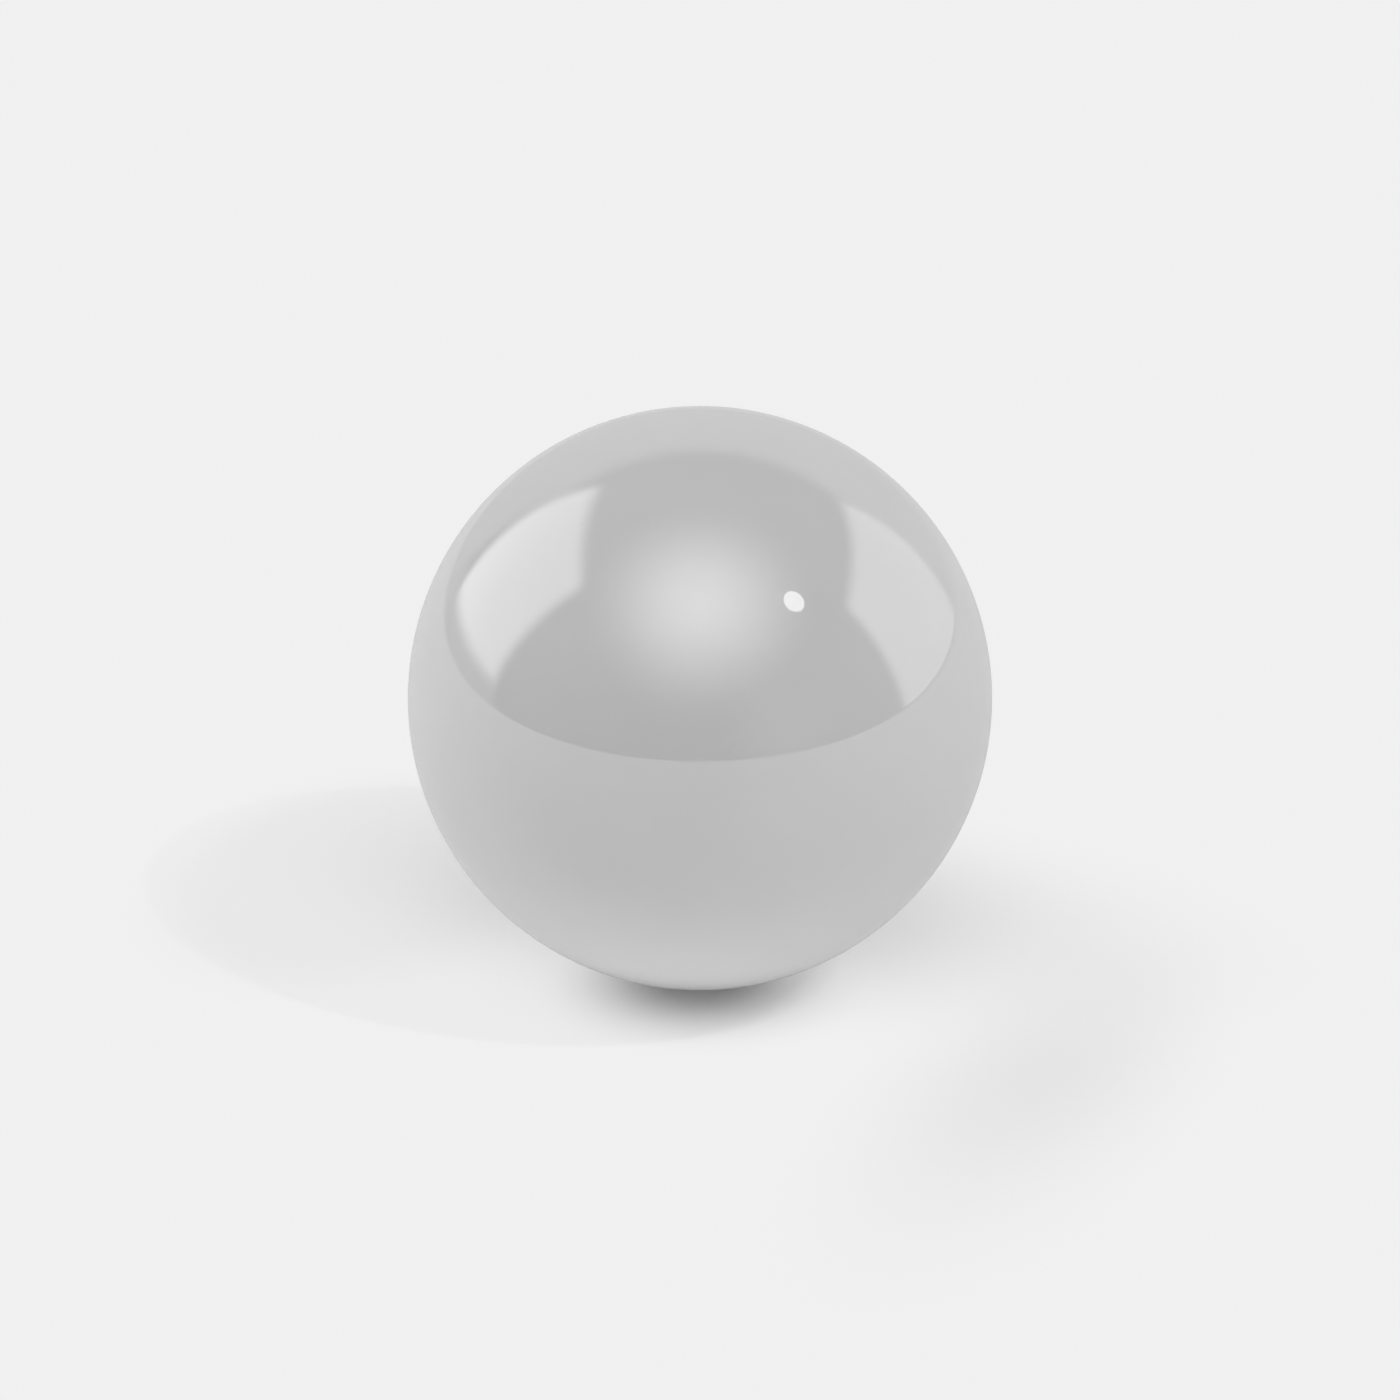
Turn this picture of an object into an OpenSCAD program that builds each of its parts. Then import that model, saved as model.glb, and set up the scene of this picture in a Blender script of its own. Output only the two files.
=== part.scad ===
// Solid ceramic ball: one sphere of dense technical ceramic, pressed, fired, lapped and polished.
// The frame's origin is the centre of the ball, and +Z is up.

/* [Ball] */
// Diameter of the finished ball, in millimetres
ball_d = 12.7; // [1:0.1:60]

/* [Hidden] */
// Segments round the ball when it is drawn as a mesh
$fn = 128;

// The whole ball is one solid, with no bore, flat, seam or core
module ball() {
    color("gainsboro")
        sphere(d = ball_d);
}

ball();
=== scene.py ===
import math

import bmesh
import bpy
import numpy as np
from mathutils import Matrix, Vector


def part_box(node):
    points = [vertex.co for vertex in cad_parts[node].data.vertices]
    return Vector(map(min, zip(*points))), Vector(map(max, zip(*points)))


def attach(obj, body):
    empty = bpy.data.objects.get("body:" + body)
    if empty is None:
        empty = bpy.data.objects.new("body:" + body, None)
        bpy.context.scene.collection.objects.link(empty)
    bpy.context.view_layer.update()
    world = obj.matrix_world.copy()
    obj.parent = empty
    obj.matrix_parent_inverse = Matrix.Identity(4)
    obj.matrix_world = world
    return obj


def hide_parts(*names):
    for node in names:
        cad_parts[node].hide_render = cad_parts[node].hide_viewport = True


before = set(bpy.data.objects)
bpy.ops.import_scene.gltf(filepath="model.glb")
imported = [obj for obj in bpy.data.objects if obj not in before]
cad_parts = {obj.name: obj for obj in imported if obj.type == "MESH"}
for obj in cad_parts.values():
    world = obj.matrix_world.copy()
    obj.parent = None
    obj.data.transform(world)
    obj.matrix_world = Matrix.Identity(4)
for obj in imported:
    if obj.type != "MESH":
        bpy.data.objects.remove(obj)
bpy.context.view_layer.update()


def feed(tree, value, socket):
    # a socket takes a link from another socket, or a plain value
    if isinstance(value, bpy.types.NodeSocket):
        tree.links.new(value, socket)
    else:
        socket.default_value = value


def calc(tree, operation, *values):
    node = tree.nodes.new("ShaderNodeMath")
    node.operation = operation
    for value, socket in zip(values, node.inputs):
        feed(tree, value, socket)
    return node.outputs[0]


def dot(tree, first, second):
    # how far one direction goes along the other
    node = tree.nodes.new("ShaderNodeVectorMath")
    node.operation = "DOT_PRODUCT"
    feed(tree, first, node.inputs[0])
    feed(tree, second, node.inputs[1])
    return node.outputs["Value"]


def ramp(tree, value, low, high, start=0.0, end=1.0):
    # start below low, end above high, and a soft S between them
    node = tree.nodes.new("ShaderNodeMapRange")
    node.interpolation_type = "SMOOTHSTEP"
    values = {"Value": value, "From Min": low, "From Max": high, "To Min": start, "To Max": end}
    for label, given in values.items():
        feed(tree, given, node.inputs[label])
    return node.outputs["Result"]


def blend(tree, share, first, second):
    # first where share is 0 and second where it is 1
    node = tree.nodes.new("ShaderNodeMix")
    for label, given in {"Factor": share, "A": first, "B": second}.items():
        feed(tree, given, node.inputs[label])
    return node.outputs["Result"]


def blendColours(tree, share, first, second):
    # the same for two colours, whose sockets on a Mix node are numbers 6, 7 and 2
    node = tree.nodes.new("ShaderNodeMix")
    node.data_type = "RGBA"
    for number, given in {0: share, 6: first, 7: second}.items():
        feed(tree, given, node.inputs[number])
    return node.outputs[2]


def newGroup(name, inputs, outputs):
    # inputs and outputs are pairs of a label and a socket kind
    tree = bpy.data.node_groups.new(name, "ShaderNodeTree")
    for label, kind in inputs:
        tree.interface.new_socket(label, in_out="INPUT", socket_type="NodeSocket" + kind)
    for label, kind in outputs:
        tree.interface.new_socket(label, in_out="OUTPUT", socket_type="NodeSocket" + kind)
    return tree, tree.nodes.new("NodeGroupInput").outputs, tree.nodes.new("NodeGroupOutput").inputs


def useGroup(tree, group, values):
    node = tree.nodes.new("ShaderNodeGroup")
    node.node_tree = group
    for label, value in values.items():
        feed(tree, value, node.inputs[label])
    return node.outputs


def towards(azimuth, elevation):
    # the unit vector at these degrees: azimuth 0 is +Y, away from the camera, and 90 is +X
    turn = math.radians(azimuth)
    rise = math.radians(elevation)
    return math.sin(turn) * math.cos(rise), math.cos(turn) * math.cos(rise), math.sin(rise)


ball = {
    "node": "ball",
    "body": "root",
    "slot": "polished_ceramic",
    "cells": 120,  # squares along each side of the six patches, an even number
    "seam": 0.0001,  # patch edges nearer than this are joined, in ball radii
}


def spherePatches(centre, radius, cells):
    # Each of six patches is the cube's face (tan u, tan v, 1), u and v from -45 to 45 degrees in even steps,
    # turned to its own side and pulled in to the radius. Three of them come out facing inwards.
    angle = np.linspace(-math.pi / 4, math.pi / 4, cells + 1)
    u, v = np.meshgrid(np.tan(angle), np.tan(angle), indexing="ij")
    face = np.stack([u, v, np.ones_like(u)], axis=-1).reshape(-1, 3)
    face /= np.linalg.norm(face, axis=1)[:, None]
    sides = [face[:, [0, 1, 2]], face[:, [1, 2, 0]], face[:, [2, 0, 1]]]
    points = np.concatenate([side * sign for side in sides for sign in (1, -1)])
    index = np.arange((cells + 1) ** 2).reshape(cells + 1, cells + 1)
    corners = [index[:-1, :-1], index[1:, :-1], index[1:, 1:], index[:-1, 1:]]
    quad = np.stack(corners, axis=-1).reshape(-1, 4)
    quads = np.concatenate([quad + side * len(face) for side in range(6)])
    return np.array(centre) + radius * points, quads


def makeBall():
    # The patches get the centre and the width of the node that they replace. Their edges are joined into one
    # closed surface, and its faces are turned outwards.
    low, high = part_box(ball["node"])
    centre = (low + high) / 2
    radius = (high - low).x / 2
    points, quads = spherePatches(centre, radius, ball["cells"])
    mesh = bpy.data.meshes.new("polishedBall")
    mesh.from_pydata(points, [], quads)
    seams = bmesh.new()
    seams.from_mesh(mesh)
    bmesh.ops.remove_doubles(seams, verts=seams.verts, dist=radius * ball["seam"])
    bmesh.ops.recalc_face_normals(seams, faces=seams.faces)
    seams.to_mesh(mesh)
    seams.free()
    mesh.shade_smooth()
    piece = bpy.data.objects.new("polishedBall", mesh)
    bpy.context.scene.collection.objects.link(piece)
    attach(piece, ball["body"])
    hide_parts(ball["node"])
    print("ball:", len(mesh.vertices), "points,", len(mesh.polygons), "faces")
    print("ball: radius", round(radius * 1000, 3), "mm")
    return piece, centre, radius


polishedBall, ballCentre, ballRadius = makeBall()

ceramic = {
    "lightTone": (0.636, 0.636, 0.636, 1),
    "darkTone": (0.626, 0.626, 0.626, 1),
    "cloudScale": 500,  # per metre
    "cloudDetail": 3,
    "cloudEdges": (0.3, 0.7),  # the noise below and above these is all light or all dark
    "polish": 0.018,  # roughness where the polish is best
    "wipe": 0.012,  # what a wiped patch adds to it
    "ior": 1.85,
    "shine": 0.5,  # the plain specular level
    "shineFades": 0.472,  # it fades from here to 1, where 0 is face on and 1 edge on
    "pitSpacing": 0.00028,  # metres, as the next two are
    "pitRadius": 0.000022,
    "pitDepth": 0.000004,
    "pitVariety": 0.4,  # the smallest pit as a share of the sizes above; the largest is 1 more
    "pitRoughness": 0.2,
}


def pitGroup():
    # Random points at about the spacing, each with a radius and a depth of its own. A pit is a smooth bowl
    # where the surface passes within that radius of the point.
    tree, given, result = newGroup(
        "surfacePits",
        [("Place", "Vector"), ("Spacing", "Float"), ("Radius", "Float"), ("Smallest", "Float")],
        [("Height", "Float"), ("Mask", "Float")],
    )
    points = tree.nodes.new("ShaderNodeTexVoronoi")
    feed(tree, given["Place"], points.inputs["Vector"])
    feed(tree, calc(tree, "DIVIDE", 1.0, given["Spacing"]), points.inputs["Scale"])
    own = tree.nodes.new("ShaderNodeSeparateColor")
    feed(tree, points.outputs["Color"], own.inputs["Color"])
    away = calc(tree, "MULTIPLY", points.outputs["Distance"], given["Spacing"])
    wide = calc(tree, "ADD", given["Smallest"], own.outputs["Red"])
    radius = calc(tree, "MULTIPLY", given["Radius"], wide)
    bowl = ramp(tree, calc(tree, "DIVIDE", away, radius), 0.0, 1.0, 1.0, 0.0)
    deep = calc(tree, "ADD", given["Smallest"], own.outputs["Green"])
    depth = calc(tree, "MULTIPLY", bowl, deep)
    feed(tree, bowl, result["Mask"])
    feed(tree, calc(tree, "SUBTRACT", 1.0, depth), result["Height"])
    return tree


def makeCeramic():
    # Soft clouds move the tone and the roughness a little, and pits dent the surface. The specular level is
    # full where the surface faces the eye and falls as the square of an S towards the rim.
    material = bpy.data.materials.new("polishedCeramic")
    material.use_nodes = True
    tree = material.node_tree
    shader = tree.nodes["Principled BSDF"]
    place = tree.nodes.new("ShaderNodeTexCoord").outputs["Object"]
    clouds = tree.nodes.new("ShaderNodeTexNoise")
    feed(tree, place, clouds.inputs["Vector"])
    clouds.inputs["Scale"].default_value = ceramic["cloudScale"]
    clouds.inputs["Detail"].default_value = ceramic["cloudDetail"]
    cloud = ramp(tree, clouds.outputs["Fac"], *ceramic["cloudEdges"])
    tone = blendColours(tree, cloud, ceramic["lightTone"], ceramic["darkTone"])
    feed(tree, tone, shader.inputs["Base Color"])
    pits = useGroup(tree, pitGroup(), {
        "Place": place,
        "Spacing": ceramic["pitSpacing"],
        "Radius": ceramic["pitRadius"],
        "Smallest": ceramic["pitVariety"],
    })
    rough = calc(tree, "MULTIPLY_ADD", cloud, ceramic["wipe"], ceramic["polish"])
    rough = calc(tree, "MULTIPLY_ADD", pits["Mask"], ceramic["pitRoughness"], rough)
    feed(tree, rough, shader.inputs["Roughness"])
    shader.inputs["IOR"].default_value = ceramic["ior"]
    facing = tree.nodes.new("ShaderNodeLayerWeight").outputs["Facing"]
    fade = ramp(tree, facing, ceramic["shineFades"], 1.0, 1.0, 0.0)
    fade = calc(tree, "MULTIPLY", fade, fade)
    shine = calc(tree, "MULTIPLY", fade, ceramic["shine"])
    feed(tree, shine, shader.inputs["Specular IOR Level"])
    bump = tree.nodes.new("ShaderNodeBump")
    bump.inputs["Distance"].default_value = ceramic["pitDepth"]
    feed(tree, pits["Height"], bump.inputs["Height"])
    feed(tree, bump.outputs["Normal"], shader.inputs["Normal"])
    return material


polishedBall.data.materials.append(makeCeramic())
print("ceramic: material made")

# A panel or a wall is flat. Its edges (left, right, low, high) are tangents from the way that it faces, and
# soft is how wide each of them fades. The level changes by the gains, per unit across and per unit up. A
# panel that covers hides what is behind it, and any other adds to it. A glow is full within one angle and
# gone at another. Angles are in degrees.
studio = {
    "backdrop": 0.874,  # what the camera sees of the pale sweep, on the floor and beyond it
    "leastAhead": 0.001,  # a panel is dropped where its plane comes nearer edge on than this
    "ambient": 0.074,
    "panels": [
        {  # the wall behind the ball
            "azimuth": 0, "elevation": 0, "edges": (-1.029, 1.236, -1, 1.153),
            "soft": (0.356, 0.027, 0.1, 0.448), "level": 0.595, "gains": (0, -0.02), "covers": False,
        },
        {  # a pale strip under the left panel
            "azimuth": -71.4, "elevation": 0, "edges": (-0.455, 0.484, -1, 0.15),
            "soft": (0.1, 0.1, 0.1, 0.214), "level": 0.467, "gains": (0, 0), "covers": False,
        },
        {  # the left panel
            "azimuth": -71.4, "elevation": 31.4, "edges": (-0.446, 0.389, -0.454, 0.402),
            "soft": (0.157, 0.142, 0.141, 0.151), "level": 2.173, "gains": (-0.159, -0.252), "covers": True,
        },
        {  # the right panel
            "azimuth": 70.5, "elevation": 13.2, "edges": (-0.372, 0.52, -0.228, 0.532),
            "soft": (0.093, 0.159, 0.022, 0.154), "level": 1.474, "gains": (0.439, 0.449), "covers": True,
        },
    ],
    "glows": [
        # the main light, softest
        {"azimuth": 179.6, "elevation": 57.9, "full": 0, "reach": 44.2, "level": 2.623},
        # a faint light low down
        {"azimuth": 149.5, "elevation": 8, "full": 0, "reach": 26, "level": 0.33},
        # the lamp's own face
        {"azimuth": 123.3, "elevation": 49.5, "full": 3.6, "reach": 3.95, "level": 3.9},
    ],
    "sweep": 0.777,  # the pale table, as the polish shows it
    "sweepGlows": [
        {"azimuth": -75.2, "elevation": -21.4, "full": 0, "reach": 110, "level": 0.278},
        {"azimuth": 145.8, "elevation": -40, "full": 0, "reach": 110, "level": 0.245},
        {"azimuth": 180, "elevation": -90, "full": 0, "reach": 58.8, "level": 0.5},
    ],
}


def panelGroup():
    # The panel's own coordinates are (d . across) / (d . facing) and (d . up) / (d . facing).
    vectors = ("Direction", "Facing", "Across", "Up")
    numbers = ("Left", "Right", "Low", "High", "Soft left", "Soft right", "Soft low", "Soft high")
    levels = ("Level", "Gain across", "Gain up")
    tree, given, result = newGroup(
        "flatPanel",
        [(label, "Vector") for label in vectors] + [(label, "Float") for label in numbers + levels],
        [("Mask", "Float"), ("Level", "Float")],
    )
    ahead = dot(tree, given["Direction"], given["Facing"])
    safe = calc(tree, "MAXIMUM", ahead, studio["leastAhead"])
    mask = calc(tree, "GREATER_THAN", ahead, studio["leastAhead"])
    level = given["Level"]
    for way, first, last in (("Across", "Left", "Right"), ("Up", "Low", "High")):
        along = calc(tree, "DIVIDE", dot(tree, given["Direction"], given[way]), safe)
        level = calc(tree, "MULTIPLY_ADD", along, given["Gain " + way.lower()], level)
        for edge, start, end in ((first, 0.0, 1.0), (last, 1.0, 0.0)):
            half = calc(tree, "MULTIPLY", given["Soft " + edge.lower()], 0.5)
            before = calc(tree, "SUBTRACT", given[edge], half)
            after = calc(tree, "ADD", given[edge], half)
            mask = calc(tree, "MULTIPLY", mask, ramp(tree, along, before, after, start, end))
    feed(tree, mask, result["Mask"])
    feed(tree, level, result["Level"])
    return tree


def glowGroup():
    # Full within some angle of its own direction, fading to nothing where that angle comes to the reach.
    tree, given, result = newGroup(
        "softGlow",
        [("Direction", "Vector"), ("Towards", "Vector"),
         ("Full", "Float"), ("Reach", "Float"), ("Level", "Float")],
        [("Level", "Float")],
    )
    cosine = dot(tree, given["Direction"], given["Towards"])
    away = calc(tree, "ARCCOSINE", calc(tree, "MAXIMUM", calc(tree, "MINIMUM", cosine, 1.0), -1.0))
    feed(tree, ramp(tree, away, given["Full"], given["Reach"], given["Level"], 0.0), result["Level"])
    return tree


def addGlow(tree, group, direction, light, glow):
    # the light so far with the glow's own added
    level = useGroup(tree, group, {
        "Direction": direction,
        "Towards": towards(glow["azimuth"], glow["elevation"]),
        "Full": math.radians(glow["full"]),
        "Reach": math.radians(glow["reach"]),
        "Level": glow["level"],
    })["Level"]
    return calc(tree, "ADD", light, level)


def addPanel(tree, group, direction, light, panel):
    # the light so far, covered by the panel or with the panel's light added
    azimuth, elevation = panel["azimuth"], panel["elevation"]
    values = {
        "Direction": direction,
        "Facing": towards(azimuth, elevation),
        "Across": towards(azimuth + 90, 0),
        "Up": towards(azimuth + 180, 90 - elevation),
        "Level": panel["level"],
        "Gain across": panel["gains"][0],
        "Gain up": panel["gains"][1],
    }
    for label, edge, softness in zip(("Left", "Right", "Low", "High"), panel["edges"], panel["soft"]):
        values[label] = edge
        values["Soft " + label.lower()] = softness
    made = useGroup(tree, group, values)
    if panel["covers"]:
        return blend(tree, made["Mask"], light, made["Level"])
    return calc(tree, "MULTIPLY_ADD", made["Mask"], made["Level"], light)


def makeWorld():
    # Above the horizon are the panels and the glows, and below it is the sweep. The camera sees neither, but
    # the plain backdrop.
    world = bpy.data.worlds.new("studio")
    world.use_nodes = True
    bpy.context.scene.world = world
    tree = world.node_tree
    direction = tree.nodes.new("ShaderNodeTexCoord").outputs["Generated"]
    panels, glows = panelGroup(), glowGroup()
    above = studio["ambient"]
    for panel in studio["panels"]:
        above = addPanel(tree, panels, direction, above, panel)
    for glow in studio["glows"]:
        above = addGlow(tree, glows, direction, above, glow)
    below = studio["sweep"]
    for glow in studio["sweepGlows"]:
        below = addGlow(tree, glows, direction, below, glow)
    height = dot(tree, direction, (0, 0, 1))
    light = blend(tree, calc(tree, "GREATER_THAN", height, 0.0), below, above)
    seen = tree.nodes.new("ShaderNodeLightPath").outputs["Is Camera Ray"]
    background = tree.nodes["Background"]
    background.inputs["Color"].default_value = (1, 1, 1, 1)
    feed(tree, blend(tree, seen, light, studio["backdrop"]), background.inputs["Strength"])


makeWorld()
print("studio:", len(studio["panels"]), "panels,", len(studio["glows"] + studio["sweepGlows"]), "glows")

# The lamp throws the crisp shadow. The polish shows its face from the studio's glows, at a level that
# doesn't clip.
lamp = {
    "azimuth": 114,
    "elevation": 48.7,
    "width": 6.3,  # degrees across, as the ball sees it
    "strength": 0.38,
}


def makeLamp():
    # a far lamp's light comes from one direction, and its width softens the shadow's edge
    light = bpy.data.lights.new("lamp", "SUN")
    light.energy = lamp["strength"]
    light.angle = math.radians(lamp["width"])
    holder = bpy.data.objects.new("lamp", light)
    bpy.context.scene.collection.objects.link(holder)
    holder.rotation_mode = "QUATERNION"
    away = Vector(towards(lamp["azimuth"], lamp["elevation"]))
    holder.rotation_quaternion = away.to_track_quat("Z", "Y")
    holder.visible_glossy = False  # the polish sees the lamp's glow instead


makeLamp()
print("lamp: placed")

# The camera sees the floor as an even pale sweep, which glows for camera rays only, and its real light
# only inside ellipses painted where the ball's soft shadows fall. Each ellipse is painted shade: it takes
# the glow away, so the matt floor shows there, darker under its real light and with its real shadow, and
# its fading rim draws the shadow's edge. Its middle lies some way from where the ball touches, and its
# sizes are along and across that way. Its share of real light is full within the inner part and fades to
# the rim. All its sizes are in ball radii, and it is repeated at each of its azimuths.
floor = {
    "halfSize": 4.0,  # metres
    "colour": (0.85, 0.85, 0.85, 1),
    "mirrored": (0.244, 0.699),  # the polish shows the table this near the contact, and the sweep beyond
    "shadows": [
        {  # where the ball touches, at its front and at its back
            "azimuths": [1.3, 181.3], "distance": -0.292,
            "along": 0.407, "across": 0.62, "inner": 0.111, "share": 0.891,
        },
        {  # behind the ball, away from the main light
            "azimuths": [15], "distance": 0.436,
            "along": 0.98, "across": 2.3, "inner": 0.178, "share": 0.622,
        },
        {  # the far part of the lamp's shadow
            "azimuths": [-66.5], "distance": 1.486,
            "along": 0.942, "across": 1.03, "inner": 0.597, "share": 0.179,
        },
        {  # at the right, away from the left panel
            "azimuths": [129.5], "distance": 1.377,
            "along": 0.532, "across": 1.349, "inner": 0, "share": 0.428,
        },
        {  # the near part of the lamp's shadow
            "azimuths": [-67.8], "distance": 0.924,
            "along": 1.467, "across": 0.9, "inner": 0.965, "share": 0.157,
        },
    ],
}


def ellipseGroup():
    # How far a point is from the middle, as a share of the ellipse's size that way: full inside the inner
    # part, nothing beyond 1.
    tree, given, result = newGroup(
        "softEllipse",
        [("Place", "Vector"), ("Ahead", "Vector"), ("Aside", "Vector"), ("Distance", "Float"),
         ("Along", "Float"), ("Across", "Float"), ("Inner", "Float"), ("Share", "Float")],
        [("Rest", "Float")],
    )
    ahead = calc(tree, "SUBTRACT", dot(tree, given["Place"], given["Ahead"]), given["Distance"])
    ahead = calc(tree, "DIVIDE", ahead, given["Along"])
    aside = calc(tree, "DIVIDE", dot(tree, given["Place"], given["Aside"]), given["Across"])
    squares = calc(tree, "ADD", calc(tree, "MULTIPLY", ahead, ahead), calc(tree, "MULTIPLY", aside, aside))
    inside = ramp(tree, calc(tree, "SQRT", squares), given["Inner"], 1.0, given["Share"], 0.0)
    feed(tree, calc(tree, "SUBTRACT", 1.0, inside), result["Rest"])
    return tree


def mixShaders(tree, share, first, second):
    # first where share is 0 and second where it is 1
    mix = tree.nodes.new("ShaderNodeMixShader")
    feed(tree, share, mix.inputs["Fac"])
    feed(tree, first, mix.inputs[1])
    feed(tree, second, mix.inputs[2])
    return mix.outputs[0]


def paleMaterial(radius):
    # Each painted shadow ellipse takes its share of the even sweep away and lets the matt floor show, darker
    # and with its real shadow. Past the mirrored distances the floor is clear to the polish. Places are in
    # ball radii from the ball's own axis.
    material = bpy.data.materials.new("paleFloor")
    material.use_nodes = True
    tree = material.node_tree
    tree.nodes.remove(tree.nodes["Principled BSDF"])
    scale = tree.nodes.new("ShaderNodeVectorMath")
    scale.operation = "SCALE"
    feed(tree, tree.nodes.new("ShaderNodeTexCoord").outputs["Object"], scale.inputs["Vector"])
    feed(tree, 1 / radius, scale.inputs["Scale"])
    place = scale.outputs["Vector"]
    ellipse = ellipseGroup()
    even = 1.0
    turned = [(shadow, azimuth) for shadow in floor["shadows"] for azimuth in shadow["azimuths"]]
    for shadow, azimuth in turned:
        rest = useGroup(tree, ellipse, {
            "Place": place,
            "Ahead": towards(azimuth, 0),
            "Aside": towards(azimuth + 90, 0),
            "Distance": shadow["distance"],
            "Along": shadow["along"],
            "Across": shadow["across"],
            "Inner": shadow["inner"],
            "Share": shadow["share"],
        })["Rest"]
        # painted shade: this ellipse takes its share of the camera's glow away
        even = calc(tree, "MULTIPLY", even, rest)
    matt = tree.nodes.new("ShaderNodeBsdfDiffuse")
    matt.inputs["Color"].default_value = floor["colour"]
    sweep = tree.nodes.new("ShaderNodeEmission")
    sweep.inputs["Strength"].default_value = studio["backdrop"]
    clear = tree.nodes.new("ShaderNodeBsdfTransparent")
    rays = tree.nodes.new("ShaderNodeLightPath").outputs
    even = calc(tree, "MULTIPLY", even, rays["Is Camera Ray"])
    seen = mixShaders(tree, even, matt.outputs[0], sweep.outputs[0])
    flat = tree.nodes.new("ShaderNodeVectorMath")
    flat.operation = "MULTIPLY"
    feed(tree, place, flat.inputs[0])
    feed(tree, (1, 1, 0), flat.inputs[1])
    away = calc(tree, "SQRT", dot(tree, flat.outputs[0], flat.outputs[0]))
    gone = calc(tree, "MULTIPLY", ramp(tree, away, *floor["mirrored"]), rays["Is Glossy Ray"])
    whole = mixShaders(tree, gone, seen, clear.outputs[0])
    feed(tree, whole, tree.nodes["Material Output"].inputs["Surface"])
    return material


def makeFloor(level, radius):
    # one flat square at that level
    half = floor["halfSize"]
    corners = [(-half, -half, level), (half, -half, level), (half, half, level), (-half, half, level)]
    mesh = bpy.data.meshes.new("floor")
    mesh.from_pydata(corners, [], [(0, 1, 2, 3)])
    mesh.materials.append(paleMaterial(radius))
    table = bpy.data.objects.new("floor", mesh)
    bpy.context.scene.collection.objects.link(table)


makeFloor(ballCentre.z - ballRadius, ballRadius)
print("floor: made")

view = {
    "azimuth": 180,
    "elevation": 23.25,
    "angle": 45.0,  # how wide it sees, in degrees
    "distance": 5.87,  # in ball radii, as the next two are
    "aimBelow": 0.007,  # how far under the ball's middle it looks
    "nearest": 0.01,
    "farthest": 100.0,  # metres
}


def makeCamera(centre, radius):
    # the eye stands off from the ball's middle and looks just below it
    camera = bpy.data.cameras.new("camera")
    camera.angle = math.radians(view["angle"])
    camera.clip_start = radius * view["nearest"]
    camera.clip_end = view["farthest"]
    eye = bpy.data.objects.new("camera", camera)
    bpy.context.scene.collection.objects.link(eye)
    eye.location = centre + Vector(towards(view["azimuth"], view["elevation"])) * radius * view["distance"]
    aim = centre - Vector((0, 0, radius * view["aimBelow"]))
    eye.rotation_mode = "QUATERNION"
    eye.rotation_quaternion = (eye.location - aim).to_track_quat("Z", "Y")
    bpy.context.scene.camera = eye


makeCamera(ballCentre, ballRadius)
bpy.context.scene.view_settings.view_transform = "Standard"
print("camera: set")
